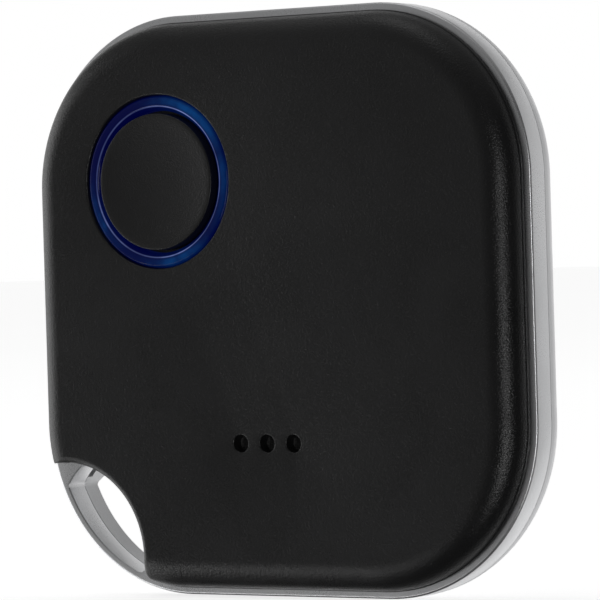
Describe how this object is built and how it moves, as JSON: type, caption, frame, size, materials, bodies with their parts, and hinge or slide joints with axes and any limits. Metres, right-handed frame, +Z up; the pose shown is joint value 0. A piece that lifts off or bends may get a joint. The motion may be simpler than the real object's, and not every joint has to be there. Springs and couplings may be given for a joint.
{
  "type": "wireless tracker tag",
  "caption": "Rounded square tracker tag with a push button in a translucent light ring, sound holes, a bright edge band, a corner eye for a key ring and a pull-off rear cover over a coin cell.",
  "frame": {"origin": "centre of the box's underside, under the tag standing upright on its lower edge", "axes": "+X to the right seen from the front, +Y from the front face to the rear cover, +Z up"},
  "size_m": [0.036, 0.0062, 0.036],
  "materials": {
    "front_shell": "matte, fine moulded grain",
    "trim_frame": "silver plating, satin",
    "rear_cover": "silver plating, satin",
    "light_ring": "translucent blue, glossy",
    "button_cap": "matte, fine moulded grain",
    "main_board": "solder mask over glass laminate",
    "switch_body": "moulded",
    "switch_cover": "rolled sheet",
    "switch_dome": "spring steel",
    "switch_plunger": "moulded",
    "ring_leds": "clear lens over a white case",
    "radio_chip": "moulded chip case",
    "radio_crystal": "welded lid",
    "chip_antenna": "fired ceramic",
    "buzzer_driver": "moulded chip case",
    "boost_coil": "ferrite",
    "board_capacitors": "tan with tinned ends",
    "board_resistors": "black film with tinned ends",
    "test_pads": "gilt",
    "buzzer_plate": "rolled sheet",
    "buzzer_ceramic": "silvered face",
    "buzzer_foam": "closed-cell foam",
    "buzzer_springs": "gilt spring sheet",
    "dust_mesh": "fine woven mesh",
    "cell_cradle": "natural moulded",
    "negative_contact": "gilt spring sheet",
    "positive_contact": "gilt spring sheet",
    "cell_can": "nickel-plated, fine circular brushing",
    "cell_pellet": "pressed powder",
    "cell_seal": "moulded",
    "cell_lid": "nickel-plated, fine circular brushing",
    "cover_pad": "closed-cell foam"
  },
  "bodies": {
    "casing": {"front_shell": "front_shell", "trim_frame": "trim_frame", "light_ring": "light_ring", "main_board": "main_board", "switch_body": "switch_body", "switch_cover": "switch_cover", "switch_dome": "switch_dome", "ring_leds": "ring_leds", "radio_chip": "radio_chip", "radio_crystal": "radio_crystal", "chip_antenna": "chip_antenna", "buzzer_driver": "buzzer_driver", "boost_coil": "boost_coil", "board_capacitors": "board_capacitors", "board_resistors": "board_resistors", "test_pads": "test_pads", "buzzer_plate": "buzzer_plate", "buzzer_ceramic": "buzzer_ceramic", "buzzer_foam": "buzzer_foam", "buzzer_springs": "buzzer_springs", "dust_mesh": "dust_mesh", "cell_cradle": "cell_cradle", "negative_contact": "negative_contact", "positive_contact": "positive_contact"},
    "button": {"button_cap": "button_cap"},
    "plunger": {"switch_plunger": "switch_plunger"},
    "cover": {"rear_cover": "rear_cover", "cover_pad": "cover_pad"},
    "cell": {"cell_can": "cell_can", "cell_pellet": "cell_pellet", "cell_seal": "cell_seal", "cell_lid": "cell_lid"}
  },
  "joints": [
    {"name": "button_press", "type": "slide", "parent": "casing", "child": "button", "axis": [0, 1, 0], "range_m": [0, 0.00025], "stiffness_N_per_m": 400},
    {"name": "plunger_press", "type": "slide", "parent": "casing", "child": "plunger", "axis": [0, 1, 0], "range_m": [0, 0.00025]},
    {"name": "cover_off", "type": "slide", "parent": "casing", "child": "cover", "axis": [0, 1, 0], "range_m": [0, 0.024]},
    {"name": "cell_out", "type": "slide", "parent": "casing", "child": "cell", "axis": [0, 1, 0], "range_m": [0, 0.012]}
  ],
  "couplings": [
    {"joint": "plunger_press", "follows": "button_press", "ratio": 1},
    {"joint": "cell_out", "follows": "cover_off", "ratio": 0.5}
  ]
}
